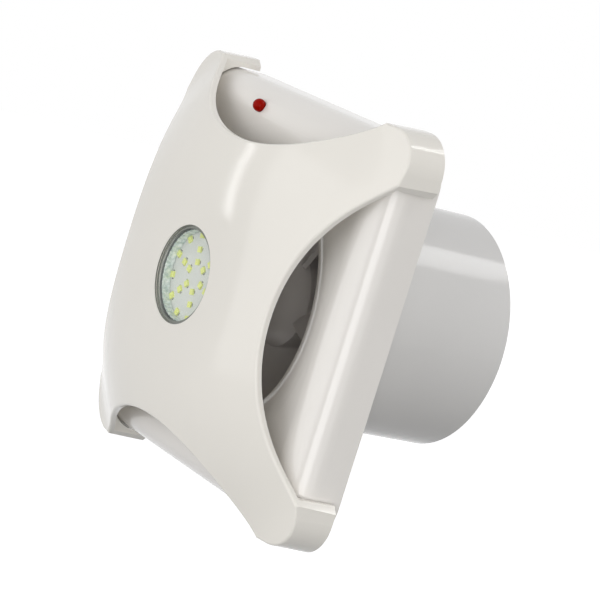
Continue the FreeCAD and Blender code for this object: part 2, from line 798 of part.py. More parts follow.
def make_stator():
    stack = new_body("stack_body")
    inside = f"({CAN_INSIDE} - shaft_fit - stack_yoke)"
    bore = "(rotor_diameter / 2 + air_gap)"
    yoke = new_sketch(stack, "yoke", offset=f"-{STACK_FRONT}")
    circle(yoke, f"{CAN_INSIDE} - shaft_fit")
    circle(yoke, inside)
    pad(stack, yoke, "stack_length", into_wall=True)
    pole = new_sketch(stack, "pole", offset=f"-{STACK_FRONT}")
    shoulder = f"sqrt({bore}^2 - pole_width^2 / 4)"
    half = "pole_width / 2"
    outline(pole, [
        (f"{inside} + stack_yoke / 2", f"-{half}"),
        (f"{inside} + stack_yoke / 2", half),
        (shoulder, half, bore, -1),
        (shoulder, f"-{half}"),
    ])
    tooth = pad(stack, pole, "stack_length", into_wall=True)
    polar(stack, tooth, "pole_count")
    keep(stack, "stator_core")

    turn = "(pole_width / 2 + coil_clearance)"
    front = f"({STACK_FRONT} - coil_clearance)"
    back = f"({STACK_FRONT} + stack_length + coil_clearance)"
    radial = (f"{bore} + coil_clearance", f"sqrt({inside}^2 - ({turn} + coil_thickness)^2) - coil_clearance")
    outer = box("coil_outer", radial, (f"{front} - coil_thickness", f"{back} + coil_thickness"),
                (f"-({turn} + coil_thickness)", f"{turn} + coil_thickness"))
    inner = box("coil_inner", (f"{bore} - {OVERCUT}", f"{inside} + {OVERCUT}"), (front, back),
                (f"-{turn}", turn))
    coil = cut("coil", outer, inner)
    count = int(value("pole_count"))
    spots = [around_axis(360 * i / count) for i in range(count)]
    keep(group("coil_group", coil, spots), "stator_coils")


def make_rotor():
    core_end = f"{STACK_FRONT} + stack_length"
    core = new_body("rotor_body")
    profile = new_sketch(core, "rotor_profile", "XY_Plane")
    inner = "(shaft_diameter / 2 + shaft_fit)"
    rim = "rotor_diameter / 2"
    collar = "hub_boss_diameter / 2"
    outline(profile, [
        (inner, f"{STACK_FRONT} - can_wall"),
        (collar, f"{STACK_FRONT} - can_wall"),
        (collar, STACK_FRONT),
        (rim, STACK_FRONT),
        (rim, core_end),
        (collar, core_end),
        (collar, f"{core_end} + can_wall"),
        (inner, f"{core_end} + can_wall"),
    ])
    revolve(core, profile)
    keep(core, "rotor_core")
    shaft_end = f"{REAR_BEARING} + bearing_width"
    nose = "(hub_nose + nut_height + shaft_proud)"
    keep(cylinder("shaft", "shaft_diameter / 2", f"-{nose}", f"{shaft_end} + {nose}"), "motor_shaft")

    nut = new_body("nut_body")
    sketch = new_sketch(nut, "nut_hexagon", offset="hub_nose")
    across = "nut_width / 2"
    side = "nut_width / 2 / sqrt(3)"
    outline(sketch, [
        (across, f"-{side}"), (across, side), ("0", f"2 * {side}"),
        (f"-{across}", side), (f"-{across}", f"-{side}"), ("0", f"-2 * {side}"),
    ])
    circle(sketch, "shaft_diameter / 2 + shaft_fit")
    pad(nut, sketch, "nut_height")
    keep(nut, "impeller_nut")
    make_impeller()


def blade_section(sketch, chord, pitch, thickness, curve):
    """Cambered strip across the blade; sketch x runs into the wall, y round the axis."""
    run = (f"cos({pitch})", f"sin({pitch})")
    side = (f"-sin({pitch})", f"cos({pitch})")
    spots = []
    for chord_sign, side_sign in ((-1, -1), (1, -1), (1, 1), (-1, 1)):
        along = f"({chord_sign} * {chord} / 2)"
        off = f"({side_sign} * {thickness} / 2)"
        spots.append([f"{along} * {run[i]} + {off} * {side[i]}" for i in (0, 1)])
    for spot in spots:
        spot[0] = f"blade_middle + {spot[0]}"
    outline(sketch, [
        (*spots[0], f"{curve} + {thickness}", -1),
        tuple(spots[1]),
        (*spots[2], curve, 1),
        tuple(spots[3]),
    ])


def make_impeller():
    hub_body = new_body("hub_body")
    rim = "(hub_diameter / 2)"
    bore = "(shaft_diameter / 2 + shaft_fit)"
    nose = "(hub_boss_diameter / 2)"
    drop = "(hub_nose - hub_shoulder)"
    width = f"({rim} - {nose})"
    dome = f"({width}^2 + {drop}^2) / (2 * {drop})"
    profile = new_sketch(hub_body, "hub_profile", "XY_Plane")
    outline(profile, [
        (bore, "-hub_nose"),
        (nose, "-hub_nose", dome, 1),
        (rim, "-hub_shoulder"),
        (rim, "hub_back"),
        (f"{rim} - hub_wall", "hub_back"),
        (f"{rim} - hub_wall", "hub_wall - hub_shoulder", f"{dome} - hub_wall", -1),
        (nose, "hub_wall - hub_nose"),
        (nose, "hub_back"),
        (bore, "hub_back"),
    ])
    revolve(hub_body, profile)

    blade_body = new_body("blade_body")
    root = new_sketch(blade_body, "blade_root", "YZ_Plane", offset=f"{rim} - 2 * hub_wall")
    blade_section(root, "root_chord", "root_pitch", "root_thickness", "root_curve")
    tip = new_sketch(blade_body, "blade_tip", "YZ_Plane", offset="duct_diameter / 2")
    blade_section(tip, "tip_chord", "tip_pitch", "tip_thickness", "tip_curve")
    loft = blade_body.newObject("PartDesign::AdditiveLoft", "blade_loft")
    loft.Profile = root
    loft.Sections = [tip]
    swept = cylinder("blade_sweep", BLADE_TIP, "-frame_depth", "2 * frame_depth + hub_back")
    inside = cylinder("hub_inside", f"{rim} - hub_wall / 2", "-frame_depth", "2 * frame_depth + hub_back")
    blade = cut("blade", common("blade_trimmed", [blade_body, swept]), inside)
    count = int(value("blade_count"))
    blades = [group(f"blade_{i}", blade, [around_axis(360 * i / count)]) for i in range(count)]
    whole = keep(fuse("impeller_whole", [hub_body, *blades]), "impeller")
    whole.Refine = False


def crown(name, setback):
    """Solid behind the cover's dome: a smooth crown that flattens towards the corners."""
    top = setback - value(COVER_FRONT)
    spots = [Vector(0, top, 0)]
    for zone in ("shoulder", "flank", "toe", "rim"):
        spots.append(Vector(value(f"{CORNER_REACH} - {zone}_inset"), top + value(f"{zone}_drop"), 0))
    curve = Part.BSplineCurve()
    curve.interpolate(Points=spots, InitialTangent=Vector(1, 0, 0), FinalTangent=spots[-1] - spots[-2])
    rim = Vector(spots[-1].x, OVERCUT, 0)
    center = Vector(0, OVERCUT, 0)
    lines = Part.makePolygon([spots[-1], rim, center, spots[0]])
    face = Part.Face(Part.Wire([curve.toShape(), *lines.Edges]))
    return solid(name, face.revolve(ORIGIN, AXIS_Y, 360))


def tapered_prism(name, half, corner_radius, back):
    """Rounded square that narrows towards the room by the cover's draft."""
    body = new_body(f"{name}_body")
    sketch = new_sketch(body, f"{name}_outline", offset=back)
    rounded_square(sketch, half, corner_radius)
    feature = pad(body, sketch, COVER_FRONT)
    bind(feature, "TaperAngle", "-cover_draft")
    return body


def frame_room():
    """Space that the cover's corners leave for the frame, one gap larger all round."""
    body = new_body("frame_room_body")
    sketch = new_sketch(body, "frame_room_outline", offset=f"-{OVERCUT}")
    rounded_square(sketch, f"({FRAME_HALF} + cover_gap)", "(frame_corner + cover_gap)")
    block = pad(body, sketch, f"frame_depth + cover_gap + {OVERCUT}")
    dress(body, "Fillet", block, "Radius", "frame_round + cover_gap",
          lies_at_depth(value("frame_depth + cover_gap")))
    return body


def scallops(name, radius):
    """Four round cutters, one over each side."""
    tools = []
    for angle in QUARTERS:
        center = on_circle(1, angle)
        tools.append(cylinder(f"{name}_{angle}", radius, f"-({COVER_FRONT} + {OVERCUT})",
                              f"{COVER_FRONT} + {2 * OVERCUT}",
                              f"{round(center.x)} * {SCALLOP_DISTANCE}",
                              f"{round(center.z)} * {SCALLOP_DISTANCE}"))
    return fuse(name, tools)


def crossing(name, half):
    """Two bars that cross in the middle and reach past the cover's sides."""
    reach = f"({COVER_HALF} + {OVERCUT})"
    depth = (f"-{COVER_FRONT}", "0")
    return fuse(name, [
        box(f"{name}_level", (f"-{reach}", reach), depth, (f"-{half}", half)),
        box(f"{name}_upright", (f"-{half}", half), depth, (f"-{reach}", reach)),
    ])


def make_front_cover():
    inner_crown = crown("crown_inside", value("cover_wall"))
    outer = common("cover_blank", [
        tapered_prism("cover_outside", COVER_HALF, "cover_corner", "cover_back"),
        crown("crown_outside", 0),
    ])
    inner = common("cover_core", [
        tapered_prism("cover_inside", f"({COVER_HALF} - cover_wall)", "(cover_corner - cover_wall)",
                      "cover_back"),
        inner_crown,
    ])
    star = cut("cover_star", outer, scallops("scallop", "scallop_radius"))
    back = -value("cover_back")
    smooth_star = rounded("cover_smooth", star, value("cover_edge_round"),
                          lambda edge: all(vertex.Y < back - 1 and vertex.X**2 + vertex.Z**2 > 1
                                           for vertex in edge.Vertexes))
    hollow = cut("cover_hollow", inner, crossing("lobe_limit", f"({LOBE_END} + cover_wall)"))
    half = f"({FRAME_HALF} - window_inset)"
    window = box("window_block", (f"-{half}", half), (f"-{COVER_FRONT}", "0"), (f"-{half}", half))
    gaps = common("cover_gaps", [fuse("gap_blocks", [window, crossing("lobe_gap", LOBE_END)]), inner_crown])
    shell = cut("cover_shell", smooth_star, fuse("cover_cavity", [hollow, gaps, frame_room()]))

    tube = cut("lamp_tube", cylinder("lamp_tube_outside", LAMP_TUBE_OUTSIDE, f"-{COVER_FRONT}",
                                     f"{COVER_FRONT} - {BOARD_BACK}"),
               cylinder("lamp_tube_inside", LAMP_TUBE_INSIDE, f"-({COVER_FRONT} + {OVERCUT})",
                        f"{COVER_FRONT} + {2 * OVERCUT}"))
    inside = [tube]
    for i, angle in enumerate(lamp_screw_angles()):
        spot = on_circle(1, angle)
        place = (f"{spot.x} * {LAMP_SCREW_RADIUS}", f"{spot.z} * {LAMP_SCREW_RADIUS}")
        post = cylinder(f"lamp_boss_{i}", "lamp_boss_diameter / 2", f"-{COVER_FRONT}",
                        f"{COVER_FRONT} - {BOARD_BACK}", *place)
        pilot = cylinder(f"lamp_pilot_{i}", "lamp_screw_diameter / 2 + screw_play / 2",
                         f"-({BOARD_BACK} + lamp_screw_length - lamp_ear_thickness)",
                         "lamp_screw_length", *place)
        inside.append(cut(f"lamp_post_{i}", post, pilot))
    for i, (across, up) in enumerate(CORNERS):
        x, z = corner(PEG_PLACE, across, up)
        inside.append(box(f"peg_{i}", (f"{x} - peg_width / 2", f"{x} + peg_width / 2"),
                          (f"-{COVER_FRONT}", "-peg_depth"),
                          (f"{z} - peg_width / 2", f"{z} + peg_width / 2")))
    wall_middle = crown("crown_middle", value("cover_wall / 2"))
    fittings = common("cover_fittings", [fuse("cover_posts", inside), wall_middle])
    lamp_hole = cylinder("lamp_hole", "lamp_diameter / 2", f"-({COVER_FRONT} + {OVERCUT})",
                         f"cover_wall + {2 * OVERCUT}")
    keep(cut("cover", fuse("cover_whole", [shell, fittings]), lamp_hole), "front_cover")


def lamp_screw_angles():
    return (90, 210, 330)


def make_lamp():
    front = f"({COVER_FRONT} - lens_recess)"
    seat = f"({COVER_FRONT} - lens_seat)"
    lens = new_body("lens_body")
    profile = new_sketch(lens, "lens_profile", "XY_Plane")
    outline(profile, [
        ("0", f"-{front}"),
        (LENS_RADIUS, f"-{front}"),
        (LENS_RADIUS, f"-{seat}"),
        (LENS_FLANGE_RADIUS, f"-{seat}"),
        (LENS_FLANGE_RADIUS, f"-{seat} + lens_flange_thickness"),
        (LENS_RADIUS, f"-{seat} + lens_flange_thickness"),
        (LENS_RADIUS, f"-{BOARD_FRONT}"),
        (f"{LENS_RADIUS} - lens_skirt", f"-{BOARD_FRONT}"),
        (f"{LENS_RADIUS} - lens_skirt", f"-{front} + lens_front"),
        ("0", f"-{front} + lens_front"),
    ])
    revolve(lens, profile)
    flute = new_sketch(lens, "lens_flute", offset=BOARD_FRONT)
    circle(flute, "flute_radius", f"{LENS_RADIUS} - lens_skirt + flute_depth - flute_radius")
    cut_flute = pocket(lens, flute, f"{front} - lens_front - {BOARD_FRONT}")
    polar(lens, cut_flute, "flute_count")
    keep(lens, "lamp_lens")

    ring = cylinder("gasket_ring", LENS_RADIUS, f"-{front} - gasket_thickness", "gasket_thickness")
    bore = cylinder("gasket_bore", f"{LENS_RADIUS} - gasket_width", f"-{front} - gasket_thickness",
                    "gasket_thickness")
    keep(cut("gasket", ring, bore), "lens_gasket")
    keep(cylinder("board", LENS_FLANGE_RADIUS, f"-{BOARD_FRONT}", "board_thickness"), "led_board")
    half = "chip_width / 2"
    chip = box("chip", (f"-{half}", half), (f"-{BOARD_FRONT} - chip_height", f"-{BOARD_FRONT}"),
               (f"-{half}", half))
    spots = []
    for radius, count in (("inner_ring_radius", 6), ("middle_ring_radius", 6), ("outer_ring_radius", 12)):
        for i in range(count):
            angle = value("chip_angle") + 360 * i / count
            spots.append(FreeCAD.Placement(on_circle(value(radius), angle), around_axis(angle).Rotation))
    keep(group("chip_group", chip, spots), "led_chips")
    make_lamp_housing()


def make_lamp_housing():
    back = f"({BOARD_BACK} - housing_depth)"
    inside = f"({LAMP_TUBE_OUTSIDE} - housing_wall)"
    cup = new_body("lamp_cup_body")
    profile = new_sketch(cup, "lamp_cup_profile", "XY_Plane")
    outline(profile, [
        (inside, f"-{BOARD_BACK}"),
        (LAMP_TUBE_OUTSIDE, f"-{BOARD_BACK}"),
        (LAMP_TUBE_OUTSIDE, f"-{back} - housing_wall"),
        (f"{LAMP_TUBE_OUTSIDE} - housing_wall", f"-{back}"),
        ("0", f"-{back}"),
        ("0", f"-{back} - housing_wall"),
        (inside, f"-{back} - housing_wall"),
    ])
    revolve(cup, profile)
    ears = new_sketch(cup, "lamp_ears", offset=f"{BOARD_BACK} - lamp_ear_thickness")
    for angle in lamp_screw_angles():
        spot = on_circle(1, angle)
        outline(ears, ear_outline(spot.x, spot.z))
    pad(cup, ears, "lamp_ear_thickness")
    holes = new_sketch(cup, "lamp_ear_holes", offset=f"{BOARD_BACK} - lamp_ear_thickness")
    for angle in lamp_screw_angles():
        spot = on_circle(1, angle)
        circle(holes, "lamp_screw_diameter / 2 + screw_play", f"{spot.x} * {LAMP_SCREW_RADIUS}",
               f"{spot.z} * {LAMP_SCREW_RADIUS}")
    pocket(cup, holes, "lamp_ear_thickness")
    keep(cup, "lamp_housing")

    base = screw("lamp_screw", "lamp_screw_diameter", "lamp_screw_length",
                 f"(lamp_ear_thickness - {BOARD_BACK})", into_wall=False)
    reach = value(LAMP_SCREW_RADIUS)
    spots = [FreeCAD.Placement(on_circle(reach, angle), FreeCAD.Rotation()) for angle in lamp_screw_angles()]
    keep(group("lamp_screw_group", base, spots), "lamp_screws")
    floor = f"-{back} - housing_wall"
    keep(box("driver", ("-driver_length / 2", "driver_length / 2"), (f"{floor} - driver_height", floor),
             ("-driver_width / 2", "driver_width / 2")), "led_driver")


def ear_outline(x, z):
    """Tab with a round end, from the lamp cup's wall out past its screw."""
    half = "lamp_boss_diameter / 2"
    root = f"({LAMP_TUBE_OUTSIDE} - housing_wall)"
    tip = LAMP_SCREW_RADIUS
    return [
        (f"{x} * {root} + {z} * {half}", f"{z} * {root} - {x} * {half}"),
        (f"{x} * {tip} + {z} * {half}", f"{z} * {tip} - {x} * {half}", half, 1),
        (f"{x} * ({tip} + {half})", f"{z} * ({tip} + {half})", half, 1),
        (f"{x} * {tip} - {z} * {half}", f"{z} * {tip} + {x} * {half}"),
        (f"{x} * {root} - {z} * {half}", f"{z} * {root} + {x} * {half}"),
    ]


def make_plug_and_socket():
    """Two-pin plug under the cover and the socket it draws out of when the cover comes off."""
    turn = around_axis(value("plug_angle"))
    near = f"{PLUG_DISTANCE} - plug_length / 2"
    far = f"{PLUG_DISTANCE} + plug_length / 2"
    plug = [box("plug_block", (near, far), (f"-{PLUG_FRONT}", f"-{PLUG_BACK}"),
                ("-plug_width / 2", "plug_width / 2"))]
    slots = []
    for i, sign in enumerate((1, -1)):
        side = f"{sign} * pin_spacing / 2"
        for items, name, play in ((plug, "pin", "0"), (slots, "pin_slot", "pin_clearance")):
            half = f"(pin_width / 2 + {play})"
            items.append(box(f"{name}_{i}", (f"{PLUG_DISTANCE} - {half}", f"{PLUG_DISTANCE} + {half}"),
                             (f"-{PLUG_BACK}", f"-{PLUG_BACK} + pin_length + {play}"),
                             (f"{side} - {half}", f"{side} + {half}")))
    keep(group("plug_placed", fuse("plug_whole", plug), [turn]), "led_plug")
    margin = "(socket_margin - peg_clearance)"
    block = box("socket_block", (f"{near} - {margin}", f"{far} + {margin}"),
                ("-frame_depth", "-frame_depth + socket_height"),
                (f"-(plug_width / 2 + {margin})", f"plug_width / 2 + {margin}"))
    socket = cut("socket_whole", block, fuse("socket_slots", slots))
    keep(group("socket_placed", socket, [turn]), "led_socket")


def make_terminals():
    wall = FRAME_INSIDE
    bottom = "(terminal_top + terminal_height)"
    low = "-(terminal_start + terminal_length)"
    keep(box("terminal", (f"-{wall}", f"-{wall} + terminal_width"), (f"-{bottom}", "-terminal_top"),
             (low, "-terminal_start")), "terminal_block")
    base = cylinder("terminal_screw", "terminal_screw_diameter / 2", "-terminal_top", "terminal_screw_height",
                    f"-{wall} + terminal_width / 2", "-(terminal_start + terminal_length / 2)")
    pitch = value("terminal_screw_pitch")
    spots = [FreeCAD.Placement(Vector(0, 0, step * pitch), FreeCAD.Rotation()) for step in (-1, 0, 1)]
    keep(group("terminal_screw_group", base, spots), "terminal_screws")


def make_indicator():
    """Red lamp that looks out of the frame above the intake."""
    radius = "(indicator_diameter / 2)"
    body = new_body("indicator_lamp_body")
    profile = new_sketch(body, "indicator_profile", "XY_Plane")
    front = "(frame_depth + indicator_reach)"
    seat = "(frame_depth - indicator_seat)"
    back = "(frame_depth - indicator_body)"
    outline(profile, [
        ("0", f"-({front} + {radius})", radius, 1),
        (radius, f"-{front}"),
        (radius, f"-{seat}"),
        (f"{radius} + indicator_collar / 2", f"-{seat}"),
        (f"{radius} + indicator_collar / 2", f"-{seat} + indicator_collar"),
        (radius, f"-{seat} + indicator_collar"),
        (radius, f"-{back}"),
        ("0", f"-{back}"),
    ])
    revolve(body, profile)
    bind(body, "Placement.Base.x", "-indicator_left")
    bind(body, "Placement.Base.z", INDICATOR_UP)
    keep(body, "indicator_lens")


def make_screws():
    base = screw("duct_screw", "duct_screw_diameter", DUCT_SCREW_LENGTH,
                 "(flange_thickness - flange_depth)", into_wall=False)
    reach = value(DUCT_SCREW_RADIUS)
    spots = [FreeCAD.Placement(on_circle(reach, angle), FreeCAD.Rotation()) for angle in (45, 135, 225, 315)]
    keep(group("duct_screw_group", base, spots), "duct_screws")


def make_leads():
    """Wires held inside: from the motor, the indicator and the lamp's socket to the terminals."""
    bend = value("lead_bend")
    pitch = value("lead_diameter + lead_gap")
    end = -value("terminal_start")
    middle = -value(f"{FRAME_INSIDE} - terminal_width / 2")
    shallow = -value(f"{FLANGE_BACK} - {LEAD_RADIUS} - lead_gap")
    deep = shallow - 2 * pitch

    side = value(LEAD_SIDE)
    track = -value(LEAD_TRACK)
    can_side = -value("motor_diameter / 2")
    exit_y = value(f"{MOTOR_BACK} - can_wall - lead_diameter")
    lead("motor_lead", [
        Vector(can_side, exit_y, side),
        Vector(can_side - value("lead_stub"), exit_y, side),
        Vector(track, exit_y - value("lead_slant"), side),
        Vector(track, shallow, side),
        Vector(middle, shallow, side),
        Vector(middle, shallow, end),
    ], [bend, 3 * bend, bend, bend])

    left, up = -value("indicator_left"), value(INDICATOR_UP)
    lead("indicator_lead", [
        Vector(left, -value("frame_depth - indicator_body"), up),
        Vector(left, deep, up),
        Vector(middle - pitch, deep, up),
        Vector(middle - pitch, deep, end),
    ], [bend, 2 * bend])

    socket = on_circle(value(PLUG_DISTANCE), value("plug_angle"), -value("frame_depth - socket_height"))
    lead("socket_lead", [
        socket,
        Vector(socket.x, shallow, socket.z),
        Vector(middle + pitch, deep, socket.z / 2),
        Vector(middle + pitch, deep, end),
    ], [bend, 3 * bend])

    angle = value("plug_angle")
    cup_middle = -value(f"{BOARD_BACK} - housing_depth / 2")
    plug_side = value(f"{PLUG_DISTANCE} - plug_length / 2")
    plug_middle = -value(f"{PLUG_FRONT} - plug_height / 2")
    lead("lamp_lead", [
        on_circle(value(LAMP_TUBE_OUTSIDE), angle, cup_middle),
        on_circle(plug_side - value("lead_slant"), angle, cup_middle),
        on_circle(plug_side - value("lead_stub"), angle, plug_middle),
        on_circle(plug_side, angle, plug_middle),
    ], [2 * bend, 2 * bend])


def write_parts():
    """Stop on anything that failed; then write one STEP file for each sub-part."""
    doc.recompute()
    for item in doc.Objects:
        if {"Invalid", "Error"} & set(item.State):
            raise RuntimeError(f"{item.Label}: {item.State}")
    for item in subparts:
        if item.Shape.isNull() or not item.Shape.isValid() or not item.Shape.Solids:
            raise RuntimeError(f"{item.Label}: no valid solid")
    os.makedirs("parts", exist_ok=True)
    for item in subparts:
        item.Shape.exportStep(os.path.join("parts", f"{item.Label}.step"))
        print(f"{item.Label}: {len(item.Shape.Solids)} solids, {item.Shape.Volume:.0f} mm3")


make_front_frame()
make_fan_duct()
make_screws()
make_motor()
make_rotor()
make_front_cover()
make_lamp()
make_plug_and_socket()
make_terminals()
make_indicator()
make_leads()
write_parts()
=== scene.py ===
import json
import math

import bmesh
import bpy
from mathutils import Matrix, Vector


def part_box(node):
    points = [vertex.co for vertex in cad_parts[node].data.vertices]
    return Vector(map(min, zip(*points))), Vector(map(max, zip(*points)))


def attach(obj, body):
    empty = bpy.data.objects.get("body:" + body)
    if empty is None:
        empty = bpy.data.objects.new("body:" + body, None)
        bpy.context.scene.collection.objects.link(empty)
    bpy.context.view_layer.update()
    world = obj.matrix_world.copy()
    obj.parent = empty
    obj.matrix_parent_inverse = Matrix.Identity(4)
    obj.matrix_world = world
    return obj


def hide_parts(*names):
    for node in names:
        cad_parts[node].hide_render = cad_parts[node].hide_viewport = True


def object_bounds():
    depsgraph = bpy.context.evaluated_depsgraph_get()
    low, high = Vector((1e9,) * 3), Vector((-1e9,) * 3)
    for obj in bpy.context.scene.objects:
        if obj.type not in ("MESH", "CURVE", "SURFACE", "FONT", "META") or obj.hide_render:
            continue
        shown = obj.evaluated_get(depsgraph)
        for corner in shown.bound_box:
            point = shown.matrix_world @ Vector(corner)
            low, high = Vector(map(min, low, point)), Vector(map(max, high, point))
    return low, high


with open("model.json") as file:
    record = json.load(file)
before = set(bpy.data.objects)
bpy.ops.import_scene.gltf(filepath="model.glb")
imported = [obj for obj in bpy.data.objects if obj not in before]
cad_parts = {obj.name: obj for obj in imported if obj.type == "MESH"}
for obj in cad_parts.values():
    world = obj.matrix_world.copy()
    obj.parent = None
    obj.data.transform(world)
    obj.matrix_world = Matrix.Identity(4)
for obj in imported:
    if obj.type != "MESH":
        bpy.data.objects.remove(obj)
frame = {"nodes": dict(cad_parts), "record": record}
cad_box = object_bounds()
scene = bpy.context.scene
scene.view_settings.view_transform = "Standard"


# Camera, fitted to the photograph; the columns of its axes point right, up and backward

LENS_MM = 171.18
SENSOR_MM = 36.0
CLIP_END = 50.0
CAMERA_AXES = Matrix((
    (0.5007, -0.2781, 0.8197),
    (0.8136, -0.1721, -0.5553),
    (0.2955, 0.9450, 0.1401),
))
CAMERA_PLACE = Vector((0.94903, -0.63536, 0.16193))


def add_camera():
    data = bpy.data.cameras.new("camera")
    data.lens = LENS_MM
    data.sensor_width = SENSOR_MM
    data.clip_end = CLIP_END
    camera = bpy.data.objects.new("camera", data)
    camera.matrix_world = Matrix.Translation(CAMERA_PLACE) @ CAMERA_AXES.to_4x4()
    scene.collection.objects.link(camera)
    scene.camera = camera


# Materials; scales count lumps per metre, heights are in metres

NOISE_LOW, NOISE_HIGH = 0.3, 0.7
MIX_FACTOR, MIX_FIRST, MIX_SECOND, MIX_RESULT = 0, 6, 7, 2

# Moulded plastic: clouding, gloss as a share of the roughness, and grain
CLOUD_SCALE, CLOUD_SHADE = 14.0, 0.965
GLOSS_SCALE, GLOSS_LOW, GLOSS_HIGH = 60.0, 0.85, 1.15
GRAIN_SCALE, GRAIN_DETAIL = 2600.0, 2.0
PLAIN_GRAIN, SATIN_GRAIN, POLISHED_GRAIN = 0.00002, 0.000005, 0.000004

# Metal: drawn marks that shade it and change its gloss
MARK_SCALE, MARK_DETAIL, MARK_SHADE, MARK_HEIGHT = 900.0, 4.0, 0.82, 0.00002
MARK_LOW, MARK_HIGH = 0.75, 1.3


class Shader:
    """One procedural material: a principled shader and the nodes that vary it."""

    def __init__(self, name, color, roughness, **sockets):
        self.material = bpy.data.materials.new(name)
        self.material.use_nodes = True
        self.tree = self.material.node_tree
        self.principled = self.tree.nodes["Principled BSDF"]
        self.color = color
        self.set("Base Color", (*color, 1.0))
        self.set("Roughness", roughness)
        for socket, amount in sockets.items():
            self.set(socket.replace("_", " "), amount)
        self.place = self.node("ShaderNodeTexCoord").outputs["Object"]

    def set(self, socket, amount):
        self.principled.inputs[socket].default_value = amount

    def node(self, kind, **settings):
        item = self.tree.nodes.new(kind)
        for key, amount in settings.items():
            setattr(item, key, amount)
        return item

    def link(self, source, target):
        self.tree.links.new(source, target)

    def noise(self, scale, detail=3.0, stretch=(1, 1, 1)):
        """Noise in object space."""
        mapping = self.node("ShaderNodeMapping")
        mapping.inputs["Scale"].default_value = stretch
        self.link(self.place, mapping.inputs["Vector"])
        texture = self.node("ShaderNodeTexNoise")
        texture.inputs["Scale"].default_value = scale
        texture.inputs["Detail"].default_value = detail
        self.link(mapping.outputs["Vector"], texture.inputs["Vector"])
        return texture.outputs["Fac"]

    def ramp(self, value, low, high):
        """Stretch the middle range of a noise to low..high."""
        item = self.node("ShaderNodeMapRange")
        item.inputs["From Min"].default_value = NOISE_LOW
        item.inputs["From Max"].default_value = NOISE_HIGH
        item.inputs["To Min"].default_value = low
        item.inputs["To Max"].default_value = high
        self.link(value, item.inputs["Value"])
        return item.outputs["Result"]

    def vary_color(self, value, other):
        """Blend the base colour with another one where the noise rises."""
        share = self.ramp(value, 0.0, 1.0)
        mix = self.node("ShaderNodeMix", data_type="RGBA")
        mix.inputs[MIX_FIRST].default_value = (*self.color, 1.0)
        mix.inputs[MIX_SECOND].default_value = (*other, 1.0)
        self.link(share, mix.inputs[MIX_FACTOR])
        self.link(mix.outputs[MIX_RESULT], self.principled.inputs["Base Color"])

    def vary_roughness(self, value, low, high):
        self.link(self.ramp(value, low, high), self.principled.inputs["Roughness"])

    def bump(self, value, height):
        """Relief of this height for the full range of the value."""
        item = self.node("ShaderNodeBump")
        item.inputs["Strength"].default_value = 1.0
        item.inputs["Distance"].default_value = height
        self.link(value, item.inputs["Height"])
        self.link(item.outputs["Normal"], self.principled.inputs["Normal"])


def shaded(color, share):
    return tuple(share * c for c in color)


def moulded(name, color, roughness, grain=PLAIN_GRAIN, **sockets):
    """Injection-moulded plastic: faint clouding, uneven gloss and a fine surface texture."""
    shader = Shader(name, color, roughness, **sockets)
    shader.vary_color(shader.noise(CLOUD_SCALE), shaded(color, CLOUD_SHADE))
    gloss = shader.noise(GLOSS_SCALE)
    shader.vary_roughness(gloss, GLOSS_LOW * roughness, GLOSS_HIGH * roughness)
    shader.bump(shader.noise(GRAIN_SCALE, GRAIN_DETAIL), grain)
    return shader.material


def metal(name, color, roughness, stretch=(1, 1, 1)):
    """Plated or bare metal with drawn marks and uneven gloss."""
    shader = Shader(name, color, roughness, Metallic=1.0)
    marks = shader.noise(MARK_SCALE, MARK_DETAIL, stretch)
    shader.vary_color(marks, shaded(color, MARK_SHADE))
    shader.vary_roughness(marks, MARK_LOW * roughness, MARK_HIGH * roughness)
    shader.bump(marks, MARK_HEIGHT)
    return shader.material


def clear_lens():
    """Polished window, almost invisible where nothing is mirrored in it."""
    shader = Shader("lens_clear", (0.80, 0.90, 0.88), 0.06, Alpha=0.08, IOR=1.49)
    shader.vary_roughness(shader.noise(scale=220.0), low=0.04, high=0.09)
    shader.bump(shader.noise(scale=300.0), height=0.00002)
    return shader.material


def flute_glass():
    """The lens's fluted skirt: opaque pale green-blue painted for the light the glass gathers."""
    shader = Shader("lens_flutes", (0.96, 1.0, 0.98), 0.12)
    # Darker patches of painted shade break up the painted glow of the glass
    painted_patches = shader.noise(scale=650.0, detail=4.0)
    shader.vary_color(painted_patches, (0.46, 0.58, 0.54))
    shader.vary_roughness(painted_patches, low=0.08, high=0.2)
    shader.bump(painted_patches, height=0.00004)
    return shader.material


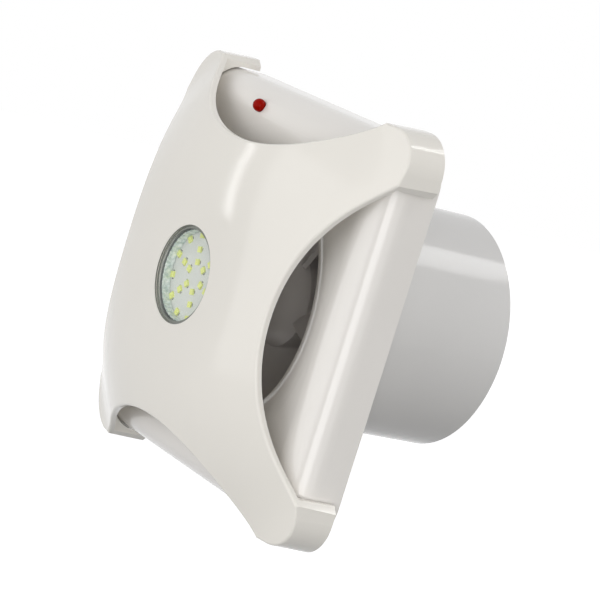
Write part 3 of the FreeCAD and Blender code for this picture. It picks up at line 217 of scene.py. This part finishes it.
MATERIALS = {
    "cover_plastic": moulded("cover_plastic", (0.87, 0.84, 0.775), 0.1, POLISHED_GRAIN,
                             Specular_IOR_Level=0.3),
    "frame_plastic": moulded("frame_plastic", (0.86, 0.83, 0.785), 0.12, SATIN_GRAIN),
    "duct_plastic": moulded("duct_plastic", (0.765, 0.755, 0.735), 0.12, SATIN_GRAIN,
                            Specular_IOR_Level=0.14),
    "lens_clear": clear_lens(),
    "gasket_rubber": moulded("gasket_rubber", (0.19, 0.2, 0.175), 0.5),
    "board_white": moulded("board_white", (0.78, 0.79, 0.75), 0.45),
    "led_phosphor": moulded("led_phosphor", (0.92, 0.97, 0.23), 0.3),
    "indicator_red": moulded("indicator_red", (0.31, 0.004, 0.0005), 0.25,
                             Specular_IOR_Level=0.05),
    "impeller_plastic": moulded("impeller_plastic", (0.46, 0.435, 0.42), 0.35),
    "bright_steel": metal("bright_steel", (0.62, 0.62, 0.61), 0.3),
    "lamination_steel": metal("lamination_steel", (0.22, 0.22, 0.23), 0.5,
                              stretch=(0.2, 6.0, 0.2)),
    "can_steel": metal("can_steel", (0.55, 0.56, 0.56), 0.35),
    "coil_copper": metal("coil_copper", (0.65, 0.28, 0.11), 0.35, stretch=(0.3, 5.0, 0.3)),
    "terminal_plastic": moulded("terminal_plastic", (0.74, 0.73, 0.68), 0.4),
    "terminal_brass": metal("terminal_brass", (0.70, 0.52, 0.22), 0.3),
    "lead_jacket": moulded("lead_jacket", (0.62, 0.61, 0.59), 0.4),
    "housing_plastic": moulded("housing_plastic", (0.74, 0.73, 0.69), 0.4),
    "driver_black": moulded("driver_black", (0.02, 0.02, 0.022), 0.4),
}


def dress_nodes():
    for entry in frame["record"]["subparts"]:
        mesh = frame["nodes"][entry["node"]].data
        mesh.materials.clear()
        mesh.materials.append(MATERIALS[entry["material_slot"]])


# Details of the lamp and the indicator, in millimetres; depths run along Y, into the wall

MM = 0.001
MM_PER_METRE = 1000.0
WELD = 0.0001
LENS_FACE = MM_PER_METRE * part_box("lamp_lens")[0][1]
BOARD_FACE = MM_PER_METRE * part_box("led_board")[0][1]
BLOCK_FACES = [(0, 1, 3, 2), (4, 6, 7, 5), (0, 4, 5, 1), (2, 3, 7, 6), (0, 2, 6, 4), (1, 5, 7, 3)]

# Seal: a ring on the lens's edge, and outside it, nearer to the room, a thin ring of painted shadow
LENS_BORE = 18.6
SEAL_RADIUS = 19.7
SEAL_PROUD = 0.15
# The outer thin ring is painted shadow: dark rubber standing for the shaded gap round the lamp
GAP_SHADOW_RADIUS = 19.95
GAP_SHADOW_FRONT, GAP_SHADOW_BACK = 0.85, 0.5
SEAL_STEPS = 192

# Fluted skirt between the lens and the board
SKIRT_WALL = 0.2
SKIRT_START, SKIRT_END = 1.5, 0.2
FLUTE_DEPTH = 0.3
FLUTE_STEPS = 96

# Pads at both sides of every chip; a ring of chips has a radius and a count, a pad's size is
# along the tangent, along the depth and outward
CHIP_RINGS = ((6.0, 6), (11.1, 6), (16.9, 12))
CHIP_ANGLE = 42.0
PAD_OFFSET = 1.65
PAD_SIZE = (0.4, 0.06, 1.2)

# Indicator: a ball, the stem and collar behind it, and the frame's sloping rim round the ball
BULB_RADIUS = 2.7
BULB_PLACE = -25.0
BULB_ARC = 10
BULB_STEPS = 48
STEM_RADIUS, STEM_LENGTH = 2.55, 5.5
COLLAR_RADIUS = 3.15
COLLAR_FRONT, COLLAR_BACK = 2.0, 0.8
RIM_INNER, RIM_OUTER = 1.6, 2.68
RIM_FRONT, RIM_THICKNESS = -23.55, 0.5
RIM_SLOPE = 0.322


def add_piece(name, shape, material, body):
    """Mesh from points in millimetres that rides on a body."""
    vertices, faces = shape
    mesh = bpy.data.meshes.new(name)
    mesh.from_pydata([tuple(MM * c for c in point) for point in vertices], [], faces)
    edit = bmesh.new()
    edit.from_mesh(mesh)
    bmesh.ops.remove_doubles(edit, verts=edit.verts, dist=MM * WELD)
    bmesh.ops.recalc_face_normals(edit, faces=edit.faces)
    edit.to_mesh(mesh)
    edit.free()
    mesh.materials.append(material)
    piece = bpy.data.objects.new(name, mesh)
    scene.collection.objects.link(piece)
    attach(piece, body)
    return piece


def turned(profile, steps, flute=0.0):
    """Ring round Y from a closed profile of radius and depth; flute pulls in every other step."""
    vertices = []
    faces = []
    count = len(profile)
    for i in range(steps):
        angle = 2.0 * math.pi * i / steps
        inward = flute * (i % 2)
        for radius, depth in profile:
            reach = radius - inward
            vertices.append((reach * math.sin(angle), depth, reach * math.cos(angle)))
        after = (i + 1) % steps
        for k in range(count):
            m = (k + 1) % count
            faces.append((i * count + k, i * count + m, after * count + m, after * count + k))
    return vertices, faces


def joined(*shapes):
    vertices = []
    faces = []
    for points, sides in shapes:
        start = len(vertices)
        vertices += points
        faces += [tuple(start + k for k in side) for side in sides]
    return vertices, faces


def band(inside, outside, front, back):
    return [(inside, front), (outside, front), (outside, back), (inside, back)]


def pad(angle, radius, along):
    """Small flat block on the board beside a chip, along the chip's tangent."""
    width, thickness, length = PAD_SIZE
    turn = math.radians(angle)
    out = Vector((math.cos(turn), 0.0, math.sin(turn)))
    side = Vector((-math.sin(turn), 0.0, math.cos(turn)))
    middle = radius * out + along * side + Vector((0.0, BOARD_FACE - thickness / 2.0, 0.0))
    vertices = []
    for a in (-0.5, 0.5):
        for b in (-0.5, 0.5):
            for c in (-0.5, 0.5):
                level = Vector((0.0, c * thickness, 0.0))
                vertices.append(tuple(middle + a * width * side + b * length * out + level))
    return vertices, BLOCK_FACES


def add_lamp_details():
    ring = band(LENS_BORE, SEAL_RADIUS, LENS_FACE - SEAL_PROUD, LENS_FACE)
    # Thin dark ring outside the seal: painted shadow of the gap between the cover's hole and the
    # lamp
    gap_shadow_ring = band(SEAL_RADIUS, GAP_SHADOW_RADIUS, LENS_FACE - GAP_SHADOW_FRONT, LENS_FACE - GAP_SHADOW_BACK)
    seal_and_gap_shadow = joined(turned(ring, SEAL_STEPS), turned(gap_shadow_ring, SEAL_STEPS))
    gasket = add_piece("lens_seal_and_gap_shadow", seal_and_gap_shadow, MATERIALS["gasket_rubber"], "cover")
    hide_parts("lens_gasket")
    skirt = band(LENS_BORE - SKIRT_WALL, LENS_BORE, LENS_FACE + SKIRT_START, BOARD_FACE - SKIRT_END)
    flutes = turned(skirt, FLUTE_STEPS, FLUTE_DEPTH)
    add_piece("lens_flutes", flutes, flute_glass(), "cover")
    pads = []
    for radius, count in CHIP_RINGS:
        for i in range(count):
            angle = CHIP_ANGLE + 360.0 * i / count
            pads += [pad(angle, radius, PAD_OFFSET), pad(angle, radius, -PAD_OFFSET)]
    add_piece("chip_pads", joined(*pads), MATERIALS["driver_black"], "cover")


def add_indicator():
    """Ball-shaped red lamp with the CAD lamp's stem, and the frame's rim close round it."""
    low, high = ([MM_PER_METRE * c for c in corner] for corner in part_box("indicator_lens"))
    x, z = (low[0] + high[0]) / 2.0, (low[2] + high[2]) / 2.0
    back = high[1]
    ball = []
    for degrees in range(0, 181, BULB_ARC):
        turn = math.radians(degrees)
        ball.append((BULB_RADIUS * math.sin(turn), BULB_PLACE - BULB_RADIUS * math.cos(turn)))
    stem = [
        (0.0, back - STEM_LENGTH), (STEM_RADIUS, back - STEM_LENGTH),
        (STEM_RADIUS, back - COLLAR_FRONT), (COLLAR_RADIUS, back - COLLAR_FRONT),
        (COLLAR_RADIUS, back - COLLAR_BACK), (STEM_RADIUS, back - COLLAR_BACK),
        (STEM_RADIUS, back), (0.0, back),
    ]
    points, faces = joined(turned(ball, BULB_STEPS), turned(stem, BULB_STEPS))
    placed = [(a + x, b, c + z) for a, b, c in points]
    bulb = add_piece("indicator_bulb", (placed, faces), MATERIALS["indicator_red"],
                     "housing")
    bulb.data.shade_smooth()
    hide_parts("indicator_lens")
    rim = band(RIM_INNER, RIM_OUTER, RIM_FRONT, RIM_FRONT + RIM_THICKNESS)
    points, faces = turned(rim, BULB_STEPS)
    sloped = [(a + x, b + RIM_SLOPE * c, c + z) for a, b, c in points]
    add_piece("indicator_rim", (sloped, faces), MATERIALS["frame_plastic"],
              "housing")


# Floor, backdrop and lights, in metres

FLOOR_HALF = 6.0
FLOOR_DROP = 0.6
FLOOR_COLOR = (0.7, 0.7, 0.7)
FLOOR_ROUGHNESS = 0.9
FLOOR_GLOW = 0.75
FLOOR_DIM = (0.1, 0.1, 0.1, 1.0)
ROOM_COLOR = (0.98, 0.98, 1.0, 1.0)
ROOM_LOW, ROOM_HIGH = -0.5, 0.3
ROOM_DARK, ROOM_BRIGHT = 0.05, 0.45
WHITE = (1.0, 1.0, 1.0, 1.0)

# Name, azimuth and elevation in degrees, distance, width, height and radiance
PANELS = (
    ("left_strip", -51.0, 18.0, 3.0, 0.12, 2.1, 6.0),
    ("right_fill", 76.0, 8.0, 1.6, 1.5, 1.5, 1.02),
    ("right_strip", 64.0, -8.0, 1.5, 0.6, 0.6, 3.2),
    ("top_back", 165.0, 53.0, 1.4, 0.45, 0.3, 8.5),
    ("front_fill", -2.0, -5.0, 1.7, 2.8, 2.2, 1.3),
)


def seen_directly(tree):
    """1 for what is seen, also in a mirror or through glass; 0 for what only gives light."""
    rays = tree.nodes.new("ShaderNodeLightPath")
    seen = rays.outputs["Is Camera Ray"]
    for kind in ("Is Glossy Ray", "Is Transmission Ray"):
        either = tree.nodes.new("ShaderNodeMath")
        either.operation = "MAXIMUM"
        tree.links.new(seen, either.inputs[0])
        tree.links.new(rays.outputs[kind], either.inputs[1])
        seen = either.outputs["Value"]
    return seen


def add_floor():
    """Floor below the part: white and shadowed where it is seen, dark as a source of light."""
    half = FLOOR_HALF
    level = cad_box[0][2] - FLOOR_DROP
    mesh = bpy.data.meshes.new("floor")
    corners = [(-half, -half, level), (half, -half, level),
               (half, half, level), (-half, half, level)]
    mesh.from_pydata(corners, [], [(0, 1, 2, 3)])
    floor = bpy.data.objects.new("floor", mesh)
    scene.collection.objects.link(floor)
    shader = Shader("floor", FLOOR_COLOR, FLOOR_ROUGHNESS)
    seen = seen_directly(shader.tree)
    glow = shader.node("ShaderNodeEmission")
    glow.inputs["Strength"].default_value = FLOOR_GLOW
    dim = shader.node("ShaderNodeBsdfDiffuse")
    dim.inputs["Color"].default_value = FLOOR_DIM
    mix = shader.node("ShaderNodeMixShader")
    add = shader.node("ShaderNodeAddShader")
    output = shader.tree.nodes["Material Output"]
    shader.link(shader.principled.outputs["BSDF"], add.inputs[0])
    shader.link(glow.outputs["Emission"], add.inputs[1])
    shader.link(seen, mix.inputs["Fac"])
    shader.link(dim.outputs["BSDF"], mix.inputs[1])
    shader.link(add.outputs["Shader"], mix.inputs[2])
    shader.link(mix.outputs["Shader"], output.inputs["Surface"])
    mesh.materials.append(shader.material)


def add_backdrop():
    """White where it is seen; as a source of light a soft room, darker below."""
    world = bpy.data.worlds.new("studio")
    world.use_nodes = True
    tree = world.node_tree
    room = tree.nodes["Background"]
    room.inputs["Color"].default_value = ROOM_COLOR
    place = tree.nodes.new("ShaderNodeTexCoord")
    split = tree.nodes.new("ShaderNodeSeparateXYZ")
    height = tree.nodes.new("ShaderNodeMapRange")
    height.inputs["From Min"].default_value = ROOM_LOW
    height.inputs["From Max"].default_value = ROOM_HIGH
    height.inputs["To Min"].default_value = ROOM_DARK
    height.inputs["To Max"].default_value = ROOM_BRIGHT
    tree.links.new(place.outputs["Generated"], split.inputs["Vector"])
    tree.links.new(split.outputs["Z"], height.inputs["Value"])
    tree.links.new(height.outputs["Result"], room.inputs["Strength"])
    white = tree.nodes.new("ShaderNodeBackground")
    white.inputs["Color"].default_value = WHITE
    mix = tree.nodes.new("ShaderNodeMixShader")
    tree.links.new(seen_directly(tree), mix.inputs["Fac"])
    tree.links.new(room.outputs["Background"], mix.inputs[1])
    tree.links.new(white.outputs["Background"], mix.inputs[2])
    tree.links.new(mix.outputs["Shader"], tree.nodes["World Output"].inputs["Surface"])
    scene.world = world


def add_panel(name, azimuth, elevation, distance, width, height, radiance):
    """Soft rectangular light round the part; azimuth 0 is straight in front, 90 on the right."""
    turn, lift = math.radians(azimuth), math.radians(elevation)
    level = math.cos(lift)
    towards = Vector((math.sin(turn) * level, -math.cos(turn) * level, math.sin(lift)))
    data = bpy.data.lights.new(name, "AREA")
    data.shape = "RECTANGLE"
    data.size = width
    data.size_y = height
    data.energy = radiance * math.pi * width * height
    lamp = bpy.data.objects.new(name, data)
    lamp.location = distance * towards
    lamp.rotation_euler = (-towards).to_track_quat("-Z", "Y").to_euler()
    scene.collection.objects.link(lamp)


add_camera()
dress_nodes()
add_lamp_details()
add_indicator()
add_floor()
add_backdrop()
for panel in PANELS:
    add_panel(*panel)
